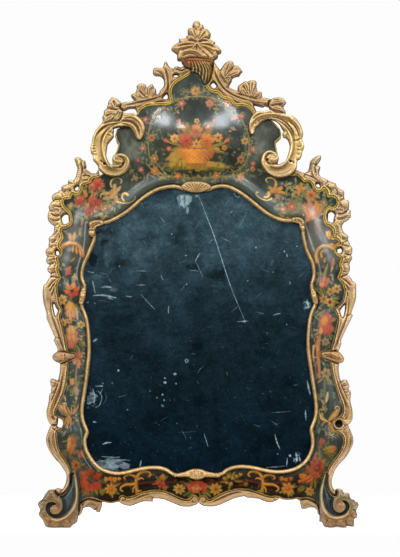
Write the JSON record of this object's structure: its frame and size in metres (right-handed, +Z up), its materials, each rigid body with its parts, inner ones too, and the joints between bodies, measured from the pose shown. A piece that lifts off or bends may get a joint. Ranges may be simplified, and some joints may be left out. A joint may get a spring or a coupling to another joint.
{
  "type": "table mirror",
  "caption": "Carved, dark-lacquered and parcel-gilt table mirror with an arched glass, a domed crest between scrolls and scroll feet, propped by two hinged easel struts.",
  "frame": {"origin": "centre of the bounding box's footprint, on the table", "axes": "+Z up; the glass faces -Y, leaning back towards +Y; +X to the viewer's right"},
  "size_m": [0.559, 0.3058, 0.8878],
  "materials": {
    "lacquer": "polished dark brown-black lacquer painted with flowers",
    "gilding": "worn water gilding over red-brown bole on carved wood",
    "mirror": "old silvered glass, dark and clouded, with scratches and lost patches",
    "pine": "raw aged pine",
    "iron": "dark wrought iron"
  },
  "bodies": {
    "frame": {"crest_panel": "lacquer", "left_stile": "lacquer", "right_stile": "lacquer", "bottom_rail": "lacquer", "finial_leaf": "gilding", "fluted_neck": "gilding", "crest_branch_left": "gilding", "crest_branch_right": "gilding", "ivy_leaf_left": "gilding", "ivy_leaf_right": "gilding", "c_scroll_left": "gilding", "c_scroll_right": "gilding", "upper_rim_left": "gilding", "upper_rim_right": "gilding", "stalk_left": "gilding", "stalk_right": "gilding", "knot_leaf_left": "gilding", "knot_leaf_right": "gilding", "lower_rim_left": "gilding", "lower_rim_right": "gilding", "s_rim_left": "gilding", "s_rim_right": "gilding", "foot_left": "gilding", "foot_right": "gilding", "crescent_left": "gilding", "crescent_right": "gilding", "bottom_rim_left": "gilding", "bottom_rim_right": "gilding", "sight_shell": "gilding", "sight_cartouche": "gilding", "sight_arch_left": "gilding", "sight_arch_right": "gilding", "corner_knot_left": "gilding", "corner_knot_right": "gilding", "sight_side_left": "gilding", "sight_side_right": "gilding", "side_bead_left": "gilding", "side_bead_right": "gilding", "sight_lower_left": "gilding", "sight_lower_right": "gilding", "mirror_plate": "mirror", "backboard_upper": "pine", "backboard_middle": "pine", "backboard_lower": "pine", "hinge_rail": "pine", "glazing_blocks": "pine", "finial_dowel": "pine", "scroll_dowels": "pine", "foot_dowels": "pine", "hinge_bracket_left": "iron", "hinge_bracket_right": "iron", "hinge_pin_left": "iron", "hinge_pin_right": "iron", "backboard_nails": "iron", "rail_screws": "iron", "bracket_screws": "iron"},
    "strut_left": {"strut_left": "pine"},
    "strut_right": {"strut_right": "pine"}
  },
  "joints": [
    {"name": "strut_hinge_left", "type": "hinge", "parent": "frame", "child": "strut_left", "pos_m": [-0.223, -0.03274, 0.46129], "axis": [-1, 0, 0], "range_deg": [0, 28.4]},
    {"name": "strut_hinge_right", "type": "hinge", "parent": "frame", "child": "strut_right", "pos_m": [0.223, -0.03274, 0.46129], "axis": [-1, 0, 0], "range_deg": [0, 28.4]}
  ]
}
